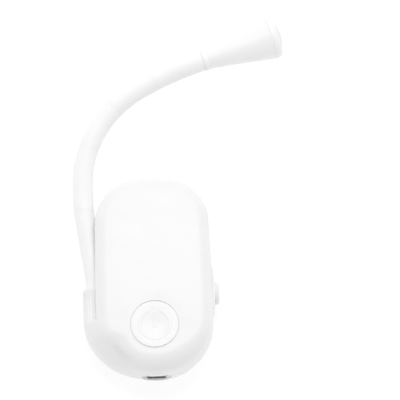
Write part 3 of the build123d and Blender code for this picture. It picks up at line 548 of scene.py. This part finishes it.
# ---------------------------------------------------------------- power button
symbol_radius = 6.4 * MM
symbol_half = 0.6 * MM
symbol_gap = 2.5 * MM
symbol_bar = (-1.5 * MM, 5.5 * MM)
symbol_rise = 0.1 * MM
symbol_blur = 0.5 * MM
button_sink = 0.12 * MM
button_dish_drop = 0.55 * MM
button_dish_radius = 9.3 * MM
button_edge = 0.16 * MM
ledge_radius = 10.31 * MM
ledge_drop = 0.02 * MM
ledge_depth = 1.0 * MM
flange_drop = 3.35 * MM
flange_radius = 11.4 * MM
flange_thickness = 1.0 * MM
skirt_bore = 8.9 * MM
roof_rise = 1.0 * MM
stem_radius = 2.4 * MM
edge_steps = 6


def symbol_share(x, y):
    """1 on the raised power symbol, 0 off it, with soft edges."""
    ring = abs(math.hypot(x, y) - symbol_radius) - symbol_half
    if y > 0:
        ring = max(ring, symbol_gap - abs(x))
    bar = max(abs(x) - symbol_half, symbol_bar[0] - y, y - symbol_bar[1])
    return smooth(0.5 - min(ring, bar) / symbol_blur)


def button_ring(radius, level, segments):
    """Points on a level circle about the button's axis."""
    turns = [2 * math.pi * i / segments for i in range(segments)]
    return [(radius * math.cos(turn), button_y + radius * math.sin(turn), level) for turn in turns]


def make_button():
    """Button cap with a shallow dish and raised symbol, its skirt, flange and stem."""
    segments, cap_rings = 288, 92
    flange_top = button_high.z - flange_drop
    flange_bottom, roof = flange_top - flange_thickness, flange_top + roof_rise
    face = dome((0, button_y)) - button_sink
    ledge_top = face - button_edge - ledge_drop
    levels = [
        (button_radius, ledge_top), (ledge_radius, ledge_top),
        (ledge_radius, ledge_top - ledge_depth), (button_radius, ledge_top - ledge_depth),
        (button_radius, flange_top), (flange_radius, flange_top),
        (flange_radius, flange_bottom), (skirt_bore, flange_bottom),
        (skirt_bore, roof), (stem_radius, roof), (stem_radius, button_low.z),
    ]
    rings = []
    for number in range(1, cap_rings + 1):
        radius = (button_radius - button_edge) * number / cap_rings
        ring = []
        for i in range(segments):
            angle = 2 * math.pi * i / segments
            x, y = radius * math.cos(angle), radius * math.sin(angle)
            dish = button_dish_drop * (1 - smooth(radius / button_dish_radius))
            height = dome((x, button_y + y)) - button_sink - dish
            height += symbol_rise * symbol_share(x, y)
            ring.append((x, button_y + y, height))
        rings.append(ring)
    for step in range(1, edge_steps + 1):
        bend = math.pi / 2 * step / edge_steps
        radius = button_radius - button_edge * (1 - math.sin(bend))
        rings.append(button_ring(radius, face - button_edge * (1 - math.cos(bend)), segments))
    rings += [button_ring(radius, level, segments) for radius, level in levels]
    mesh = bmesh.new()
    rows = skin_rings(mesh, rings)
    cap_ring(mesh, rows[0], (0, button_y, face - button_dish_drop))
    cap_ring(mesh, rows[-1], (0, button_y, button_low.z))
    outward(mesh)
    return finish_piece("power_button_cap", mesh, "button_white", "button", ["power_button"])


# ---------------------------------------------------------------- gooseneck
# Centreline from the collar's mouth: length and left turn in degrees of each tangent stretch
neck_stretches = [(8.0, 8.0), (26.0, 0.0), (8.0, -8.0), (6.0, 0.0), (52.4, -60.0), (31.0, -12.6)]
bend_stations = [18.0, 54.0, 76.0, 98.0, 118.0]
neck_length = sum(length for length, turn in neck_stretches)
sleeve_start = -14.4
bend_half_length = 9.0
sleeve_bore = 3.2 * MM


def neck_point(distance):
    """Point on the neck's centreline and its heading, at a distance in millimetres."""
    x, y, heading = neck_x, collar_top_y, 0.0
    if distance <= 0:
        return Vector((x, y + distance * MM, neck_height)), Vector((0, 1, 0))
    left = distance
    for length, turn in neck_stretches:
        used = min(left, length)
        step = turn * used / length
        middle = math.radians(heading + step / 2)
        bow = math.radians(step / 2)
        chord = used * MM * (math.sin(bow) / bow if abs(bow) > 1e-9 else 1.0)
        x -= chord * math.sin(middle)
        y += chord * math.cos(middle)
        heading += step
        left -= used
        if left <= 0:
            break
    way = math.radians(heading)
    return Vector((x, y, neck_height)), Vector((-math.sin(way), math.cos(way), 0))


def make_sleeve(number, start, end, stands_for):
    """One length of the silicone sleeve, along the neck's centreline between two cuts."""
    segments = 64
    count = max(8, round(end - start))
    marks = [start + (end - start) * i / count for i in range(count + 1)]
    rings = []
    for radius, order in ((neck_radius, marks), (sleeve_bore, marks[::-1])):
        for mark in order:
            point, ahead = neck_point(mark)
            across = Vector((ahead.y, -ahead.x, 0))
            ring = []
            for i in range(segments):
                angle = 2 * math.pi * i / segments
                spoke = across * math.cos(angle) + Vector((0, 0, 1)) * math.sin(angle)
                ring.append(point + spoke * radius)
            rings.append(ring)
    mesh = bmesh.new()
    skin_rings(mesh, rings, closed=True)
    outward(mesh)
    piece = finish_piece(f"neck_sleeve_length_{number}", mesh, "neck_silicone", None, stands_for)
    station = bend_stations[number - 1]
    start_point = neck_point(station - bend_half_length)[0]
    end_point = neck_point(station + bend_half_length)[0]
    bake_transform(piece)


def make_neck():
    """The whole sleeve, cut halfway between bends."""
    cuts = [sleeve_start]
    cuts += [(low + high) / 2 for low, high in zip(bend_stations, bend_stations[1:])]
    cuts.append(neck_length)
    for number in range(1, len(bend_stations) + 1):
        stands_for = [f"neck_sleeve_{number}"] + (["neck_sleeve_0"] if number == 1 else [])
        start, end = cuts[number - 1], cuts[number]
        make_sleeve(number, start, end, stands_for)


def collar_place(radius, angle, mark):
    """Point about the collar's axis, at a height above its lower end."""
    x = neck_x + radius * math.cos(angle)
    return (x, collar_bottom_y + mark, neck_height + radius * math.sin(angle))


def make_collar():
    """Fluted collar with plain bands and rounded ends."""
    segments, flutes = 360, 30
    flute_depth, flute_power, run_out = 0.38 * MM, 0.7, 0.8 * MM
    band, edge = 1.3 * MM, 0.45 * MM
    length = collar_top_y - collar_bottom_y
    marks = [0, edge / 3, edge, band, band + run_out, length / 2]
    marks += [length - mark for mark in marks[-2::-1]]
    rings = []
    for mark in marks:
        from_end = min(mark, length - mark)
        turned_in = 1 - min(1.0, from_end / edge)
        shrink = edge * (1 - math.sqrt(1 - turned_in**2))
        fluting = flute_depth * smooth((from_end - band) / run_out)
        ring = []
        for i in range(segments):
            angle = 2 * math.pi * i / segments
            flute = (0.5 - 0.5 * math.cos(flutes * angle)) ** flute_power
            radius = collar_radius - shrink - fluting * flute
            ring.append(collar_place(radius, angle, mark))
        rings.append(ring)
    for mark in (length, 0):
        turns = [2 * math.pi * i / segments for i in range(segments)]
        rings.append([collar_place(neck_radius, turn, mark) for turn in turns])
    mesh = bmesh.new()
    skin_rings(mesh, rings, closed=True)
    outward(mesh)
    return finish_piece("fluted_collar", mesh, "collar_white", "housing", ["neck_collar"])


# ---------------------------------------------------------------- head
def scaled(points):
    return [(along * MM, radius * MM) for along, radius in points]


def make_head():
    """Cone with a base flange, bezel with a rounded tip, and domed lens, as sections in mm."""
    origin, ahead = neck_point(neck_length)
    core_bore, tip_bore, flange_radius_mm, flange_round = 2.65, 3.35, 4.2, 0.55
    groove_round, groove_place = 0.5, (1.9, 4.25)
    cone_start, cone_end, cone_base, cone_mouth, cone_swell = 2.9, 30.75, 4.5, 9.0, 1.08
    seam, seam_radius, seat_bore, seat_depth = 31.0, 8.8, 7.6, 28.7
    cone_steps = 14
    shell = [(0, core_bore), (0, flange_radius_mm)]
    shell += arc((flange_round, flange_radius_mm), (flange_round, flange_round), 180, 90, 5)[1:]
    shell += arc(groove_place, (groove_round, groove_round), 90, 10, 5) + [(2.5, 4.42)]
    for step in range(cone_steps + 1):
        share = step / cone_steps
        along = cone_start + (cone_end - cone_start) * share
        shell.append((along, cone_base + (cone_mouth - cone_base) * share**cone_swell))
    shell += [(seam, seam_radius), (seam, seat_bore), (seat_depth, seat_bore)]
    shell += [(22.5, 6.3), (9.0, tip_bore), (1.4, tip_bore), (1.4, core_bore)]
    lathe("head_cone", scaled(shell), origin, ahead, "head_white", "head", ["head_shell"])

    tip_place, tip_radii = (31.7, 6.9), (2.7, 2.2)
    bezel = [(seam, seam_radius), (31.25, 9.1)] + arc(tip_place, tip_radii, 90, 6, 10)
    bezel += [(34.3, 6.75), (33.2, 6.7), (33.2, 5.6), (32.6, 5.6)]
    bezel += [(32.6, 6.65), (29.0, 6.65), (29.0, 7.5), (seam, 7.5)]
    lathe("head_bezel_ring", scaled(bezel), origin, ahead, "head_white", "head", ["head_bezel"])

    lens_radius, rise, length, lens_back = 6.6, 1.6, 36.0, 33.2
    ball = (lens_radius**2 + rise**2) / (2 * rise)
    spread = math.degrees(math.asin(lens_radius / ball))
    lens = [(lens_back, 0), (lens_back, 6.55), (34.25, lens_radius)]
    lens += arc((length - ball, 0), (ball, ball), spread, 0, 14)[:-1] + [(length, 0)]
    lathe("head_lens_dome", scaled(lens), origin, ahead, "lens_frosted", "head", ["head_lens"])


# ---------------------------------------------------------------- hinge, spring and pads
def make_hinge_cap():
    """Cap over the hinge pin's end, with a rounded edge and a shallow round recess."""
    depth = (cap_high.x - cap_low.x) / MM
    radius = (cap_high.z - cap_low.z) / 2 / MM
    edge, recess_depth, recess_radius = 1.2, 0.35, 2.6
    floor_level = depth - recess_depth
    profile = [(0, 0), (0, radius)] + arc((depth - edge, radius - edge), (edge, edge), 90, 0, 8)
    profile += [(depth, recess_radius + 0.3), (depth - 0.15, recess_radius + 0.1)]
    profile += [(floor_level, recess_radius), (floor_level, 0)]
    origin = Vector((cap_low.x, (cap_low.y + cap_high.y) / 2, (cap_low.z + cap_high.z) / 2))
    across = Vector((1, 0, 0))
    lathe("hinge_cap_disc", scaled(profile), origin, across, "shell_white", "housing", ["hinge_cap"])


def make_spring():
    """Torsion spring: close coils with a straight leg at each end."""
    low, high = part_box("torsion_spring")
    wire = 0.45 * MM
    centre_y, centre_z = (low.y + high.y) / 2, (low.z + high.z) / 2
    radius = (high.z - low.z) / 2 - wire
    turns, per_turn, sides = 6, 28, 12
    lower_leg, upper_leg = 4.0 * MM, 3.2 * MM
    path = []
    for i in range(turns * per_turn + 1):
        angle = 2 * math.pi * i / per_turn
        x = low.x + wire + (high.x - low.x - 2 * wire) * i / (turns * per_turn)
        y = centre_y + radius * math.cos(angle)
        path.append(Vector((x, y, centre_z + radius * math.sin(angle))))
    path.insert(0, path[0] - Vector((0, 0, lower_leg)))
    path.append(path[-1] + Vector((0, 0, upper_leg)))
    rings = []
    for i, point in enumerate(path):
        ahead = (path[min(i + 1, len(path) - 1)] - path[max(i - 1, 0)]).normalized()
        side = ahead.cross(Vector((1, 0, 0))).normalized()
        other = ahead.cross(side)
        turned = [2 * math.pi * k / sides for k in range(sides)]
        rings.append([
            point + (side * math.cos(turn) + other * math.sin(turn)) * wire for turn in turned])
    mesh = bmesh.new()
    rows = skin_rings(mesh, rings)
    cap_ring(mesh, rows[0], path[0])
    cap_ring(mesh, rows[-1], path[-1])
    outward(mesh)
    finish_piece("spring_with_legs", mesh, "spring_steel", "housing", ["torsion_spring"])


def make_pad(name, low, high, grip_up, body, node):
    """Silicone pad with grip ribs across it and rounded edges, cut to the housing's round end."""
    across, along = 72, 96
    edge, groove, pitch = 0.6 * MM, 0.35 * MM, 2.4 * MM
    end_margin = 5.0 * MM
    arc_radius = end_radius - end_margin
    thickness = high.z - low.z
    grip, base = [], []
    for j in range(along + 1):
        grip_row, base_row = [], []
        for i in range(across + 1):
            x = low.x + (high.x - low.x) * i / across
            foot = max(low.y, end_centre_y - math.sqrt(arc_radius**2 - x**2))
            y = foot + (high.y - foot) * j / along
            gap = min(x - low.x, high.x - x, y - foot, high.y - y)
            sag = edge - math.sqrt(max(0.0, edge**2 - max(0.0, edge - gap) ** 2))
            rib = 0.5 - 0.5 * math.cos(2 * math.pi * (high.y - y) / pitch)
            height = thickness - sag - groove * smooth(1.6 * rib - 0.3) * smooth((gap - edge) / edge)
            grip_row.append((x, y, low.z + height if grip_up else high.z - height))
            base_row.append((x, y, low.z if grip_up else high.z))
        grip.append(grip_row)
        base.append(base_row)
    mesh = bmesh.new()
    tops = [[mesh.verts.new(point) for point in row] for row in grip]
    bottoms = [[mesh.verts.new(point) for point in row] for row in base]
    for layer in (tops, bottoms):
        for j in range(along):
            for i in range(across):
                mesh.faces.new((layer[j][i], layer[j][i + 1], layer[j + 1][i + 1], layer[j + 1][i]))
    rim = [(0, i) for i in range(across)] + [(j, across) for j in range(along)]
    rim += [(along, i) for i in range(across, 0, -1)] + [(j, 0) for j in range(along, 0, -1)]
    for (j, i), (n, m) in zip(rim, rim[1:] + rim[:1]):
        mesh.faces.new((tops[j][i], tops[n][m], bottoms[n][m], bottoms[j][i]))
    outward(mesh)
    piece = finish_piece(name, mesh, "pad_silicone", body, [node])


make_front_cover()
make_button()
make_neck()
make_collar()
make_head()
make_hinge_cap()
make_spring()
make_pad("jaw_grip_pad", pad_low, pad_high, True, "jaw", "jaw_pad")
make_pad("housing_grip_pad", housing_pad_low, housing_pad_high, False, "housing", "housing_pad")

# ---------------------------------------------------------------- studio
floor_half = 2.0
floor_drop = 0.05 * MM
floor_shade = 0.36
floor_glow = 0.7
floor_mesh = bpy.data.meshes.new("studio_floor")
floor_mesh.from_pydata(
    [(-floor_half, -floor_half, 0), (floor_half, -floor_half, 0),
     (floor_half, floor_half, 0), (-floor_half, floor_half, 0)], [], [(0, 1, 2, 3)])
floor = bpy.data.objects.new("studio_floor", floor_mesh)
floor.location.z = -floor_drop
bpy.context.scene.collection.objects.link(floor)
floor_white, _, floor_shader = new_material("floor_white", (floor_shade,) * 3, 0.9)
floor_shader.inputs["Emission Color"].default_value = (1, 1, 1, 1)
floor_shader.inputs["Emission Strength"].default_value = floor_glow
floor_mesh.materials.append(floor_white)

# The soft light is a little stronger from the top end than from the bottom end
sky_low, sky_high = 0.62, 0.95
key_watts = 2.85
key_size = 0.5
key_offset = Vector((0.04, 0.34, 1.0))
world = bpy.data.worlds.new("studio")
world.use_nodes = True
background = world.node_tree.nodes["Background"]
background.inputs["Color"].default_value = (1, 1, 1, 1)
sky_place = world.node_tree.nodes.new("ShaderNodeTexCoord")
sky_axes = world.node_tree.nodes.new("ShaderNodeSeparateXYZ")
sky_range = world.node_tree.nodes.new("ShaderNodeMapRange")
sky_range.inputs["From Min"].default_value = -1.0
sky_range.inputs["To Min"].default_value = sky_low
sky_range.inputs["To Max"].default_value = sky_high
world.node_tree.links.new(sky_place.outputs["Generated"], sky_axes.inputs["Vector"])
world.node_tree.links.new(sky_axes.outputs["Y"], sky_range.inputs["Value"])
world.node_tree.links.new(sky_range.outputs["Result"], background.inputs["Strength"])
bpy.context.scene.world = world
bpy.context.scene.view_settings.view_transform = "Standard"


def soft_box(name, place, target, size, watts):
    """A square area light facing the target."""
    data = bpy.data.lights.new(name, "AREA")
    data.size = size
    data.energy = watts
    light = bpy.data.objects.new(name, data)
    light.location = place
    light.rotation_mode = "QUATERNION"
    light.rotation_quaternion = (target - place).to_track_quat("-Z", "Y")
    bpy.context.scene.collection.objects.link(light)


middle = (cad_box[0] + cad_box[1]) / 2
soft_box("key_light", middle + key_offset, middle, key_size, key_watts)
